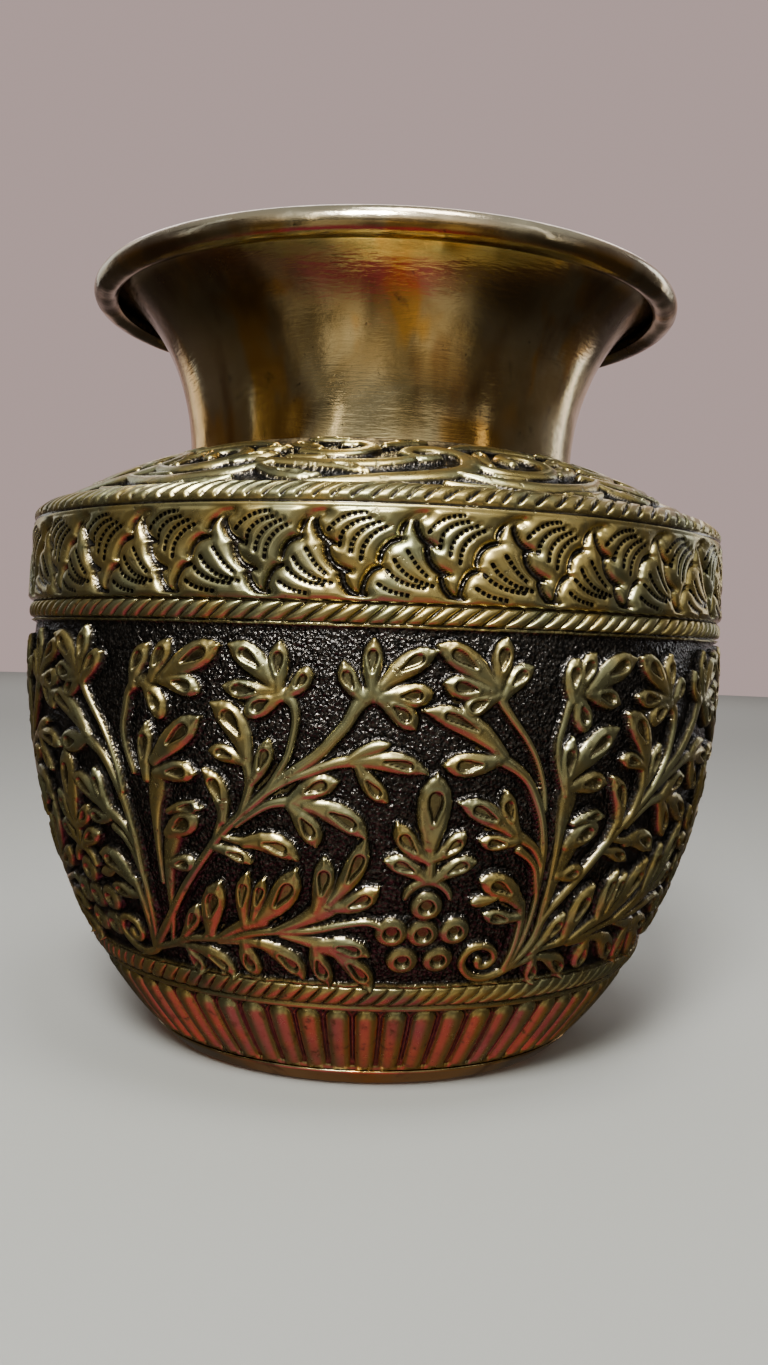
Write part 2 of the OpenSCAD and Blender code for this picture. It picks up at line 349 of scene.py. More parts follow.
# angle, length, outer radius, radius of the hole
ROSETTE = (
    (8.8, 37.0, 3.4, 1.6), (3.9, 31.2, 3.5, 1.65), (13.6, 31.5, 3.3, 1.5),
    (5.9, 24.9, 3.4, 1.5), (11.6, 25.1, 3.3, 1.5), (8.7, 31.1, 3.4, 1.65),
)
LEFT_STEMS = (
    ((23.8, 22.5, 1.0), (24.3, 26, 0.9), (24.5, 30, 0.95), (24.3, 34, 1.0), (23.7, 37, 1.2)),
    ((24.4, 23, 0.8), (25.5, 28, 0.75), (26.0, 33, 0.75), (26.1, 38, 0.75), (25.6, 41, 0.8),
     (24.8, 44.3, 0.8), (23.4, 46.5, 0.9), (21.6, 48.2, 1.1)),
    ((25.9, 40, 0.9), (25.8, 46, 1.0), (25.4, 50, 1.0), (24.6, 54, 1.0), (23.5, 57.5, 1.0),
     (22, 61, 1.0), (20.3, 63.3, 1.1), (18.3, 65, 1.3), (16.8, 65.9, 1.4)),
    ((24.8, 56, 0.55), (24.2, 60, 0.6), (22.8, 65, 0.65), (21, 69, 0.7), (19.2, 72, 0.8),
     (17.6, 74.8, 0.9), (16.7, 77, 1.2), (16.2, 78.6, 1.5)),
    ((25.8, 45, 1.0), (24, 48.5, 1.0), (21.6, 50.6, 1.3), (20.2, 51.6, 1.4)),
    ((25.6, 23, 1.0), (23, 20.9, 1.1), (20.5, 20, 1.1), (18, 20.6, 1.05), (16.2, 22.7, 1.0),
     (15.8, 25, 1.0), (16.8, 27.2, 1.0), (18.8, 27.8, 0.95), (20.6, 26.8, 0.9),
     (21.3, 24.8, 0.85), (20.3, 23.1, 0.85), (18.9, 23.1, 0.9), (18.5, 24.4, 1.1)),
    ((23.4, 37, 1.2), (21.2, 38.4, 1.3), (20.4, 38.6, 1.3)),
)
LEFT_LOBES = (
    (16.4, 79, 17.5, 87.4, 4.1, 0.03, 1), (15.6, 79, 8.3, 85.8, 4.7, -0.06, 0.9),
    (15.6, 77.9, 9.2, 79.1, 4.3, 0.03, 0.95), (16.2, 77, 11.8, 73.6, 3.9, -0.05, 0.9),
    (17.2, 77, 21.1, 82.4, 3.9, 0.08, 0.9),
    (17.6, 66.2, 6.8, 74, 4.4, -0.10, 0.7), (17, 65.4, 9.7, 64.4, 4.4, 0.04, 1),
    (20, 51.8, 12.3, 57.4, 4.3, -0.06, 0.9), (20.8, 52, 18.6, 59.6, 3.5, 0.06, 0.9),
    (21, 50, 15.6, 50.2, 3.4, 0.05, 0.9),
    (23.2, 37, 16.4, 42, 4.8, -0.10, 0.85), (23.6, 34, 17.7, 35.2, 3.3, 0.06, 0.9),
    (19.2, 38.6, 15.4, 37.6, 2.6, 0.05, 0),
)
UPRIGHT_STEMS = (
    ((26.9, 38, 0.6), (27.2, 44, 0.85), (27.4, 50, 1.2), (27.7, 54, 1.8), (28.2, 57.6, 2.3),
     (28.6, 60.4, 2.1)),
    ((24.2, 60, 0.7), (23.0, 64.5, 0.75), (22.6, 68.5, 0.8), (23.2, 72, 0.85),
     (23.8, 75.2, 0.95), (25.4, 77.2, 1.5), (27.6, 77.6, 1.8), (30, 78.4, 1.6)),
    ((25.4, 24, 0.7), (27.2, 31, 0.9), (28.0, 37, 1.2), (28.6, 41, 1.6), (29.4, 45, 2.0),
     (30.4, 48.6, 2.3), (31.2, 50.2, 2.1)),
)
UPRIGHT_LOBES = (
    (26.6, 59, 27.2, 69.6, 3.7, 0.04, 1), (28.2, 62.6, 35.8, 71.2, 4.9, 0.03, 0.9),
    (28.4, 60.2, 34.8, 60.8, 4.2, 0.05, 0.9),
    (24.8, 76.6, 27.4, 84.2, 3.9, 0.10, 0.95), (28.2, 78, 31, 85.2, 3.9, 0.03, 1),
    (30.6, 78.8, 38.6, 84.5, 4.9, 0.04, 0.9), (30, 77.8, 35.8, 76.1, 4.1, 0.05, 0.9),
    (27, 77, 29.8, 70.8, 4.3, 0.08, 0.9),
    (29.6, 48.6, 34.6, 52.2, 4.6, 0.04, 1), (29.0, 42.6, 33.4, 43.4, 3.6, -0.05, 0.8),
)


def vine(relief):
    """Draws the panels of the belly."""
    for number, root in enumerate(ROOTS):
        wander = np.random.default_rng(40 + number).uniform(-1, 1, 400)
        freedom = 0.3 if number < 2 else 1.0  # the two panels in front stay closer to the table
        drawn = [0]

        def loose(amount):
            drawn[0] = (drawn[0] + 1) % len(wander)
            return amount * wander[drawn[0]] * freedom

        def place(angle, own_root):
            turn = angle - own_root
            if number % 2 == 1:
                turn -= 3.2 * float(ease((turn - 3) / 5))
            return root + turn

        for stems, lobes, own_root, height in (
                (UPRIGHT_STEMS, UPRIGHT_LOBES, UPRIGHT_ROOT, 1.3),
                (RIGHT_STEMS, RIGHT_LOBES, RIGHT_ROOT, 1.5),
                (LEFT_STEMS, LEFT_LOBES, LEFT_ROOT, 1.45)):
            for line in stems:
                shift = loose(0.12)
                relief.add(curve([(place(a, own_root), s + shift, w * 1.12 + 0.08 * (s > 55))
                                  for a, s, w in line], 4), height, melt=0.12)
            for a0, s0, a1, s1, width, bend, eye in lobes:
                relief.lobe((place(a0, own_root), s0),
                            (place(a1, own_root) + loose(0.35), s1 + loose(0.35)),
                            width * (1.2 + loose(0.06)), bend + loose(0.02), eye, 1.6)
        # A thin ring joins the berries, which lie round the last one.
        middle, level = place(ROSETTE[-1][0], RIGHT_ROOT), ROSETTE[-1][1]
        k = float(np.interp(level, relief.s, relief.k))
        turn = np.linspace(0, 2 * np.pi, 25)
        relief.add(np.column_stack([middle + 4.0 * np.cos(turn) / k, level + 4.0 * np.sin(turn),
                                    0 * turn + 0.55]), 0.8)
        for a, s, outer, hole in ROSETTE:
            relief.ring(place(a, RIGHT_ROOT), s, outer, hole)


# ------------------------------------------------------------------ beads, flutes, frieze
def rope(theta, s, low, high, count, seed, fine):
    """A rounded bead from low to high, cut by slanting nicks. Returns height and nick."""
    v = (2 * s - low - high) / (high - low)
    arch = np.clip(1 - v * v, 0, 1)
    pitch = 360.0 / count
    phase = (theta + pitch * 0.3 * wave(theta, 0.0, seed, 8, 14)) / pitch - 0.575 * v
    near = phase - np.round(phase)
    nick = ridge(near, fine * (0.35 + 0.85 * arch)) * ease((1.02 - np.abs(v)) / 0.2)
    return (0.9 * (np.sqrt(arch) - 1) - 0.7 * nick - 0.9 * fine * np.cos(2 * np.pi * phase),
            nick)


def flutes(theta, s, k, low, high):
    """Round-topped flutes between two lengths. Returns height below the crest and darkness."""
    pitch = 360.0 / FLUTES
    wide = pitch * k
    phase = (theta + 2.0 + 0.25 * wave(theta, 0.0, 5, 6, 30)) / pitch
    across = (phase - np.floor(phase) - 0.5) * wide
    half = 0.42 * wide
    depth = half - np.hypot(across, np.maximum(s - high + half, 0))
    lobe = 1.45 * dome(depth, half)
    # A thin fillet runs up each gap and round the heads, and a plain strip lies above them.
    fillet = 0.45 * ridge(depth + 0.08 * wide, 0.17)
    strip = 1.2 * ease((s - high - 0.1) / 0.5)
    foot = ease((s - low) / 0.8)
    height = -1.5 + np.maximum(np.maximum(lobe, fillet), strip) * foot + 0.9 * (1 - foot)
    dark = (1 - ease(lobe / 0.7)) * (1 - 0.6 * fillet / 0.45) * foot * (1 - strip / 1.2)
    return height, dark


# Outlines of the leaves over one repeat and the rows of punched dots, as (angle, level).
UP_LEFT = (
    ((-6.6, 98.0), (-6.45, 99.6), (-6.1, 101.2), (-5.4, 102.6), (-4.3, 103.25)),
    ((-4.45, 104.6), (-4.15, 106.2), (-3.3, 107.6), (-1.8, 108.35)),
    ((-1.85, 109.6), (-1.5, 110.7), (-0.9, 111.7), (0.0, 112.5), (1.1, 112.85)),
)
UP_RIGHT = (
    ((1.1, 112.85), (0.55, 112.2), (0.25, 111.3), (0.5, 110), (1.2, 108.6), (2.75, 107.3)),
    ((1.75, 106.7), (2.1, 105.0), (3.0, 103.6), (4.75, 102.45)),
    ((3.8, 101.6), (4.2, 100.2), (5.0, 99.0), (6.25, 98.0)),
)
PUNCH_ROWS = (
    ((-11.1, 109.7), (-10.2, 111), (-8.9, 112.1), (-7.5, 112.7), (-6.5, 112.8)),
    ((-9.6, 107), (-9.4, 108.8), (-8.6, 110.2), (-7.3, 111.3), (-5.6, 111.9)),
    ((-8.2, 105.8), (-8.0, 107.5), (-7.2, 109.2), (-5.9, 110.5), (-4.4, 111.3)),
    ((-6.9, 104.5), (-6.7, 106.5), (-6.0, 108.2), (-4.9, 109.6), (-3.5, 110.6)),
    ((-1.1, 106.2), (-0.4, 104.8), (0.5, 103.2), (1.8, 101.6)),
    ((-2.8, 104.6), (-2.1, 103.2), (-0.9, 101.8), (0.4, 100.9), (2.4, 100.2)),
    ((-3.7, 102.7), (-2.9, 101.6), (-1.6, 100.6), (-0.1, 100), (1.3, 99.8)),
    ((-4.7, 100.2), (-3.9, 99.5), (-2.7, 98.8), (-0.7, 98.3)),
)
FRIEZE_TIP = 4.9  # the angle of a tip near the front
FRIEZE_LOW, FRIEZE_HIGH = 97.7, 113.9
DOT_PITCH, DOT_SHARE, DOT_R = 1.04, 0.66, 0.4


def frieze(theta, z, radius):
    """The band of leaves. Returns height, darkness, and the two fields of the punched rows:
    the distance to the nearest row and the way along it."""
    pitch = 360.0 / FRIEZE_REPEATS
    x = theta - FRIEZE_TIP + 0.35 * wave(theta, 0.0, 11, 6, 20)
    x = x - pitch * np.floor(x / pitch + 0.5)
    k = float(np.radians(radius))
    z = z + 0.12 * wave(theta, z, 12, 6, 24, 8)
    left, right = ([curve(part, 4) for part in side] for side in (UP_LEFT, UP_RIGHT))
    outline = np.vstack(left + right)
    to_left, to_right, dots = np.full((3,) + z.shape, FAR)
    way, up = np.zeros(z.shape), np.zeros(z.shape, bool)
    for turn in (-pitch, 0.0, pitch):
        xs = x + turn
        for sides, nearest in ((left, to_left), (right, to_right)):
            for part in sides:
                for _, _, _, d, _ in segments(xs, z, k, part):
                    np.minimum(nearest, d, out=nearest)
        for part in PUNCH_ROWS:
            run = 0.0
            for _, _, step, d, t in segments(xs, z, k, curve(part, 3)):
                near = d < dots
                dots, way = np.where(near, d, dots), np.where(near, run + t * step, way)
                run += step
        # A place lies in a leaf that points up if a ray from it crosses the outline oddly.
        crossed = np.zeros(z.shape, int)
        for (a0, z0), (a1, z1) in zip(outline, np.roll(outline, -1, 0)):
            if z0 != z1:
                between = (z >= min(z0, z1)) & (z < max(z0, z1))
                crossed += between & (xs < a0 + (z - z0) * (a1 - a0) / (z1 - z0))
        up |= crossed % 2 == 1
    own, other = np.where(up, to_left, to_right), np.where(up, to_right, to_left)
    # Each crease is steep under the leaf that lies on top and gentle on the other side,
    # and it dies away towards the tips.
    tip = 1 - 0.55 * ease((z - 110.6) / 2.0)
    deep = 1.3 * tip
    height = (-deep * (1 - dome(own - 0.05, 1.0))
              - deep * (1 - ease((other - 0.05) / np.where(up, 2.0, 1.6))) ** 1.6)
    swell = 0.6 * ease(own / 2.4) * ease(other / 3.4) - 0.3
    border = ease((z - FRIEZE_LOW) / 0.5) * ease((FRIEZE_HIGH - z) / 0.9)
    height = mixed(-0.1, np.maximum(height, -deep) + swell, border)
    # The darkness is partly patina in the floor of each crease and partly painted shade, which
    # runs up the gentle flank that falls into it.
    flank = np.where(up, ease((other - 0.4) / 1.5), ease((other - 0.2) / 1.1))
    dark = np.maximum(1 - ease((own - 0.05) / 0.35), 0.93 * (1 - flank))
    dark = dark * border * (0.35 + 0.65 * ease((tip - 0.45) / 0.4))
    channel = ridge(dots, 0.45)
    return height - 0.42 * channel, np.maximum(dark, 0.5 * channel), dots, way


# ------------------------------------------------------------------ shoulder
# Angles within one repeat, radii on the cone, half-widths.
# They are drawn over SCROLL_SPAN degrees round SCROLL_MIDDLE, out to SCROLL_EDGE_R.
SCROLL_MIDDLE, SCROLL_SPAN, SCROLL_EDGE_R = 5.0, 66.0, 72.5
SCROLL_STEMS = (
    ((-14, 72.6, 0.6), (-8, 71.2, 1.5), (0, 69.6, 2.2), (8, 67.8, 2.5), (14.5, 64.8, 2.5),
     (17.5, 60.6, 2.4), (16.5, 56.4, 2.2), (12, 53.6, 2.1), (6.6, 54.2, 1.9),
     (4.6, 57.4, 1.7), (7.4, 59.8, 1.6), (10.6, 58.8, 1.6)),
    ((13, 67.0, 0.8), (20, 69.0, 2.1), (27, 69.8, 2.4), (34, 68.8, 2.2), (40, 66.8, 1.7),
     (45, 63.8, 1.1)),
    ((17, 62.4, 1.4), (22, 64.4, 2.0), (28, 64.6, 2.2), (33.5, 62.4, 2.1), (36, 58.8, 2.0),
     (34.4, 55.2, 1.8), (30, 53.8, 1.7), (26.4, 55.8, 1.6), (27.4, 58.6, 1.5)),
    ((-24, 62.2, 1.2), (-16, 63.4, 2.0), (-8, 63.6, 2.3), (0, 62.6, 2.2), (5, 60.8, 1.6)),
    ((-17, 57.0, 1.2), (-11, 58.4, 1.9), (-5.4, 57.4, 2.0), (-2.4, 54.0, 1.9),
     (-5, 51.0, 1.6), (-9, 51.2, 1.5)),
    ((16, 52.6, 1.2), (20, 50.0, 1.9), (26, 48.8, 2.0), (33, 49.4, 1.8), (39, 51.4, 1.1)),
)
# base angle, base radius, tip angle, tip radius, width, bend, eye
SCROLL_LOBES = (
    (-22, 65.6, -10.6, 69.2, 4.6, 0.10, 0.8), (-13, 64.6, -2.6, 67.4, 3.6, -0.08, 0.9),
    (36.6, 62, 44, 58.6, 5.0, -0.10, 0.9), (-14, 55.2, -21.6, 51.8, 4.6, 0.10, 0.9),
    (0.6, 51.6, 11.5, 48.4, 4.4, -0.12, 0.8), (21, 61.4, 22.4, 53.6, 4.4, -0.10, 0.9),
    (-9, 47.9, -19.6, 47.4, 3.6, 0.06, 0.7), (38.4, 55.8, 44.4, 53.4, 4.0, 0.06, 0.8),
    (-18.6, 60.6, -10.6, 60.9, 2.6, 0.05, 0), (19.6, 66.6, 26, 67.1, 2.2, 0.0, 0),
    (10, 71.0, 18, 71.8, 3.2, 0.05, 0), (40, 69.6, 30, 72.0, 3.4, -0.06, 0.8),
)


def scrolls(relief, length_at):
    """Draws the scrollwork of the shoulder; length_at turns a radius into a length."""
    unit = 360.0 / SCROLL_REPEATS
    for number in range(SCROLL_REPEATS):
        rng = np.random.default_rng(90 + number)

        def place(angle):
            return SCROLL_MIDDLE + number * unit + (angle - SCROLL_MIDDLE) * unit / SCROLL_SPAN

        for line in SCROLL_STEMS:
            shift = rng.uniform(-0.3, 0.3)
            relief.add(curve([(place(a), length_at(r) + shift, w) for a, r, w in line], 4),
                       1.5, melt=0.4)
        for a0, r0, a1, r1, width, bend, eye in SCROLL_LOBES:
            relief.lobe((place(a0), length_at(r0)),
                        (place(a1) + rng.uniform(-0.3, 0.3), length_at(r1)),
                        width, -bend, eye, 1.4)


# ------------------------------------------------------------------ meshes
def path_normals(r, z):
    dr, dz = np.gradient(r), np.gradient(z)
    n = np.hypot(dr, dz) + 1e-9
    return dz / n, -dr / n


def offset(r, z, height):
    """The outline pushed outwards by a field of heights."""
    nr, nz = path_normals(r, z)
    return r[:, None] + nr[:, None] * height, z[:, None] + nz[:, None] * height


def path_lengths(r, z):
    return np.concatenate([[0], np.cumsum(np.hypot(np.diff(r), np.diff(z)))])


def resample(points, step):
    """The outline with points about a step apart, its corners kept."""
    out = [points[0]]
    for (r0, z0), (r1, z1) in zip(points[:-1], points[1:]):
        n = max(1, int(round(math.hypot(r1 - r0, z1 - z0) / step)))
        out += [(r0 + (r1 - r0) * i / n, z0 + (z1 - z0) * i / n) for i in range(1, n + 1)]
    return np.array(out)


def corner_arc(centre, radius, start, end, count):
    """Points on an arc in the outline plane, angles in degrees from outwards."""
    a = np.radians(np.linspace(start, end, count))
    return [(centre[0] + radius * math.cos(t), centre[1] + radius * math.sin(t)) for t in a]


# What a belt carries for the materials, and the values of a plain one. Tone runs from 0 in the
# hollows to 1 on the worn tops, and also carries painted shade on the slopes of the relief and
# in the creases of the frieze; grain is the roughness of the ground, or on the collar a painted
# highlight that makes the lip pale; dots and way are the distance to the nearest punched row
# and the way along it.
VALUES = {"tone": 0.75, "grain": 0.0, "dots": 9.0, "way": 0.0}


class Belt:
    """Rings of the same count: radii and heights as rows by columns, with named values."""

    def __init__(self, r, z, columns=COARSE, **values):
        def spread(v):
            v = np.asarray(v, float)
            return np.broadcast_to(v[:, None] if v.ndim == 1 else v, (len(r), columns))

        self.r, self.z = spread(r), spread(z)
        self.values = {k: spread(values.get(k, plain)) for k, plain in VALUES.items()}


def link(name, data):
    ob = bpy.data.objects.new(name, data)
    bpy.context.scene.collection.objects.link(ob)
    return ob


def build(name, belts, closed=False):
    """One mesh from belts that follow each other; a belt may be three times as fine. It ends
    in a point on the axis at both ends, or it closes on itself."""
    places, rings, faces, total = [], [], [], 0
    values = {k: [belt.values[k].reshape(-1) for belt in belts] for k in VALUES}
    for belt in belts:
        rows, cols = belt.r.shape
        theta = np.radians(angles(cols))
        places.append(np.stack([belt.r * np.sin(theta), -belt.r * np.cos(theta), belt.z],
                               -1).reshape(-1, 3))
        rings += [(total + row * cols, cols) for row in range(rows)]
        total += rows * cols
    for (a, na), (b, nb) in zip(rings, rings[1:] + rings[:1] * closed):
        i = np.arange(min(na, nb))
        j = (i + 1) % len(i)
        if na == nb:
            faces.append([a + i, a + j, b + j, b + i])
        elif na < nb:
            faces.append([a + i, a + j, b + 3 * j, b + 3 * i + 2, b + 3 * i + 1, b + 3 * i])
        else:
            faces.append([a + 3 * i, a + 3 * i + 1, a + 3 * i + 2, a + 3 * j, b + j, b + i])
    if not closed:
        for (ring, n), z, order in ((rings[0], belts[0].z[0, 0], (1, 0)),
                                    (rings[-1], belts[-1].z[-1, 0], (0, 1))):
            places.append([[0.0, 0.0, z]])
            edge = ring + np.arange(n), ring + (np.arange(n) + 1) % n
            faces.append([edge[order[0]], edge[order[1]], np.full(n, total)])
            for k in VALUES:
                values[k].append(values[k][0][:1])
            total += 1
    sizes = np.concatenate([np.full(len(face[0]), len(face)) for face in faces])
    loops = np.concatenate([np.stack(face, -1).reshape(-1) for face in faces])
    mesh = bpy.data.meshes.new(name)
    mesh.vertices.add(total)
    mesh.loops.add(len(loops))
    mesh.polygons.add(len(sizes))
    for items, field, data, kind in (
            (mesh.vertices, "co", np.vstack(places) / 1000.0, np.float32),
            (mesh.loops, "vertex_index", loops, np.int32),
            (mesh.polygons, "loop_start", np.cumsum(sizes) - sizes, np.int32),
            (mesh.polygons, "loop_total", sizes, np.int32),
            (mesh.polygons, "use_smooth", sizes > 0, bool)):
        items.foreach_set(field, data.reshape(-1).astype(kind))
    for k in VALUES:
        layer = mesh.attributes.new(k, "FLOAT", "POINT")
        layer.data.foreach_set("value", np.concatenate(values[k]).astype(np.float32))
    mesh.update(calc_edges=True)
    mesh.validate()
    return link(name, mesh)


# ------------------------------------------------------------------ the bowl
def bowl():
    levels = np.linspace(FOOT_EDGE_Z, SEAM_Z, 6000)
    run = path_lengths(levels, crest(levels))
    run -= np.interp(VINE_ZERO_Z, levels, run)

    def length(z):
        return float(np.interp(z, levels, run))

    # From the bottom: the flutes, the low bead, the vine's field and the high bead.
    low, high = (length(z) for z in LOW_BEAD_Z)
    band_low, band_high = length(SEAM_Z - HIGH_BEAD), length(SEAM_Z)
    s = np.concatenate([np.arange(*zone) for zone in (
        (run[0], low, 0.36), (low, high, 0.25), (high, band_low, 0.31),
        (band_low, band_high - 0.15, 0.25))])
    z = np.interp(s, run, levels)
    r = crest(z)
    theta, col = angles(COLS), s[:, None]
    relief = Relief(s, r)
    vine(relief)
    groove = 0.16 * ridge(relief.edge + 0.35, 0.3)
    grain = rough_field(7, relief.h.shape)
    ground = 1 - ease(relief.h / 0.5)
    height = (relief.h - 1.6 + ground * (0.2 * grain - groove)
              + 0.05 * wave(theta, col, 21, 10, 20, 6))
    # Tone of the vine: patina in the hollows, worn tops, and painted shade on the slopes between.
    tone = tone_of(relief.h + relief.sunk, 0.45, 1.6) * (1 - relief.eye)
    stipple = ground
    # The chased fillet along each edge of the field.
    for edge, side in ((high, 1), (band_low, -1)):
        lip = ridge(col - edge - side * 0.45 + 0.12 * wave(theta, 0.0, 33, 8, 60), 0.3)
        height = height + lip * (1.15 + 0.1 * grain)
        tone = np.maximum(tone, 1.1 * lip - 0.15)
        stipple = stipple * (1 - lip)
    for a, b, past, count, seed, fine in ((low, high, 0, LOW_CUTS, 3, 0.075),
                                          (band_low, band_high, 9, HIGH_CUTS, 4, 0.115)):
        bead, nick = rope(theta, col, a, b, count, seed, fine)
        here = ease((col - a) / 0.12 + 0.5) * ease((b + past - col) / 0.12 + 0.5)
        side = np.clip(np.abs((col - (a + b) / 2) / (b - a) * 2), 0, 1)
        height = mixed(height, bead, here)
        tone = mixed(tone, (1 - 0.92 * nick) * (1 - 0.5 * side ** 6), here)
        stipple = stipple * (1 - here)
    fluted, dark = flutes(theta, col, relief.k[:, None], run[0], length(FLUTE_TOP_Z))
    here = 1 - ease((col - low) / 0.2 + 0.5)
    line = ridge(col - low, 0.28)  # a dark line under the low bead
    height = mixed(height, fluted, here) - 0.35 * line
    tone = mixed(tone, 1 - dark, here) * (1 - 0.85 * line)
    stipple = mixed(stipple, 0.3 * dark, here)
    outer_r, outer_z = offset(r, z, height)
    outer_z[0] = FOOT_EDGE_Z
    first_r = outer_r[0].mean()
    # Inside: the hammered negative of the relief, softened by the thickness of the sheet,
    # and plain where the shoulder's skirt is lapped to it.
    soft, zi = blur(height, 4)[::-3, 1::3], z[::-3]
    keep = (zi > 6.5) & (zi < SEAM_Z - 0.6)
    soft, zi = soft[keep], zi[keep]
    lap = ease((zi - (SKIRT_LOW - 2.5)) / 1.5)[:, None]
    push = mixed(soft - SHEET, -WALL, lap)
    inner_r, inner_z = (f[::-1] for f in offset(crest(zi)[::-1], zi[::-1], push[::-1]))
    bend = inner_r[-1].mean()
    floor_h = np.zeros(11)
    floor_h[:4] = 1.3, 0.45, 0.15, 0.05
    return build("bowl", [
        Belt([1, 10, 20, 30, 38, 43, 46, 46.7], np.full(8, BOWL_LOW), tone=0.4, grain=0.2),
        Belt([BOTTOM_R, BOTTOM_R + 0.9 * (first_r - BOTTOM_R)],
             [BOWL_LOW, BOWL_LOW + 0.9 * (FOOT_EDGE_Z - BOWL_LOW)], COLS, tone=0.5),
        Belt(outer_r, outer_z, COLS, tone=tone, grain=stipple),
        Belt([outer_r[-1].mean() - 0.3], [SEAM_Z], COLS, tone=0.2),
        Belt([inside(SEAM_Z), inside(SEAM_Z - 0.4)], [SEAM_Z, SEAM_Z - 0.4], tone=0.5),
        Belt(inner_r, inner_z, tone=0.45, grain=0.15),
        Belt([bend - 1.6, bend - 3.0, 44, 40, 34, 27, 20, 13, 7, 3, 1],
             BOWL_LOW + SHEET + floor_h, tone=0.4, grain=0.15)])


# ------------------------------------------------------------------ the shoulder
def shoulder():
    wall_r, edge_r, wall_z = FRIEZE_R - 0.6, 2.6, SEAM_Z + 16.8
    arc = corner_arc((wall_r - edge_r, wall_z), edge_r, 6, 90 - math.degrees(CONE), 9)
    edge_end = arc[-1]
    p = resample([(FRIEZE_R, SEAM_Z + 0.6), (wall_r, wall_z)] + arc, 0.3)
    cone = [edge_end, (NECK_R, edge_end[1] + (edge_end[0] - NECK_R) * CONE_FALL)]
    r, z = np.vstack([p, resample(cone, 0.3)[1:]]).T
    s = path_lengths(r, z)
    theta = angles(COLS)
    height, grain, way = np.zeros((3, len(s), COLS))
    tone, dots = np.ones_like(height), np.full_like(height, VALUES["dots"])
    rows = slice(0, int(np.argmax(z >= wall_z)) + 1)
    height[rows], dark, dots[rows], way[rows] = frieze(theta, z[rows][:, None], wall_r + 0.3)
    # The frieze's darkness, patina in the creases and painted shade on their flanks, lowers the
    # tone here.
    tone[rows], grain[rows] = 1 - dark, 0.35 * dark
    # The bead is the rounded corner, with a groove below it and slanting drops cut into it.
    # Lengths count from the start of the cone, which is domed by the camber.
    q = (s - s[len(p) - 1])[:, None]
    end = q[-1, 0]
    bead_low, bead_high = -1.9, 4.3
    groove = ridge(q - bead_low + 0.1, 0.3)
    camber = 1.3 * np.sin(np.pi * np.clip(q / end, 0, 1))
    v = np.clip((q - bead_low) / (bead_high - bead_low), 0, 1)
    here = (q > bead_low) & (q < bead_high)
    height = np.where(here, 1.15 * np.sin(np.pi * v) ** 0.75 + camber, height) - 0.45 * groove
    strand = (theta * SHOULDER_CUTS / 360.0 + 2.0 * np.sin(np.radians(theta * 2 + 40))
              + 0.3 * wave(theta, 0.0, 61, 8, 30) - 2.0 * (v - 0.3))
    strand = strand - np.floor(strand)
    reach = ease((v - 0.07) / 0.07) * ease((0.95 - v) / 0.3) * here
    nick = ease(strand / 0.06) * (1 - ease((strand - 0.2 + 0.15 * v) / 0.24)) * reach
    height = height - 0.8 * nick + 0.2 * reach
    tone = tone * (1 - 0.95 * groove) * (1 - 0.97 * nick)
    # The scrollwork fills the cone, from SCROLL_EDGE_R at the bead to the neck.
    relief = Relief(q[:, 0], r)
    squeeze = (end - bead_high) / (SCROLL_EDGE_R - NECK_R)
    scrolls(relief, lambda radius: end - (radius - NECK_R) * squeeze)
    field = ease((q - bead_high) / 0.3 + 0.5)
    ground = 1 - ease(relief.h / 0.5)
    near_neck = 1 - ease((end - q) / 0.5)
    drawn = relief.h - 0.9 + camber + ground * 0.12 * rough_field(17, height.shape)
    # The same tone for the scrollwork, with painted shade on its slopes.
    drawn_tone = ((0.08 + 0.86 * tone_of(relief.h + relief.sunk, 0.35, 1.45))
                  * (1 - 0.7 * relief.eye))
    line = ridge(q - bead_high, 0.35)
    height = (mixed(height, mixed(drawn, -0.5, near_neck), field) - 0.2 * line
              + 0.05 * wave(theta, q, 22, 10, 20, 6))
    tone = mixed(tone, drawn_tone, field) * (1 - 0.7 * line)
    grain = mixed(grain, ground, field)
    # The plain inside runs from the neck down the cone and the wall to the lapped skirt,
    # round its lower edge and back up its outer face.
    inner_r = wall_r - 1.6
    skirt = np.linspace(SEAM_Z - 0.3, SKIRT_LOW + 0.2, 8)
    edge = inside(SKIRT_LOW)
    below = [(radius, under(radius))
             for radius in (NECK_R, *np.linspace(NECK_R + 1.5, inner_r - 4, 20))]
    below += [(inner_r - 1.6, under(inner_r - 1.6) - 0.5), (inner_r - 0.4, under(inner_r) - 1.6),
              (inner_r, under(inner_r) - 3.0), (FRIEZE_R - 1.6, SEAM_Z + 2.0),
              (inside(SEAM_Z) - SHEET, SEAM_Z + 0.4)]
    below += [(inside(h) - SHEET, h) for h in skirt]
    below += [(edge - 0.8, SKIRT_LOW), (edge - 0.25, SKIRT_LOW), (edge - 0.05, SKIRT_LOW + 0.2)]
    below += [(inside(h) - 0.03, h) for h in skirt[::-1]]
    return build("shoulder", [
        Belt([FRIEZE_R - 1.9, FRIEZE_R - 0.7], [SEAM_Z + 0.02, SEAM_Z + 0.1], COLS, tone=0.1),
        Belt(*offset(r, z, height), COLS, tone=tone, grain=grain, dots=dots, way=way),
        Belt(*np.array(below).T, tone=0.4, grain=0.15)], closed=True)


# ------------------------------------------------------------------ collar, wire, foot, braze
# Small dents of the collar: angle, level as a part of its height, reach and depth.
DENTS = ((38, 0.16, 4.0, 0.35), (-22, 0.12, 5.0, 0.3), (12, 0.3, 7.0, 0.25),
         (120, 0.4, 6.0, 0.3), (-150, 0.2, 5.0, 0.3), (-70, 0.5, 8.0, 0.25),
         (75, 0.35, 5.0, 0.25))


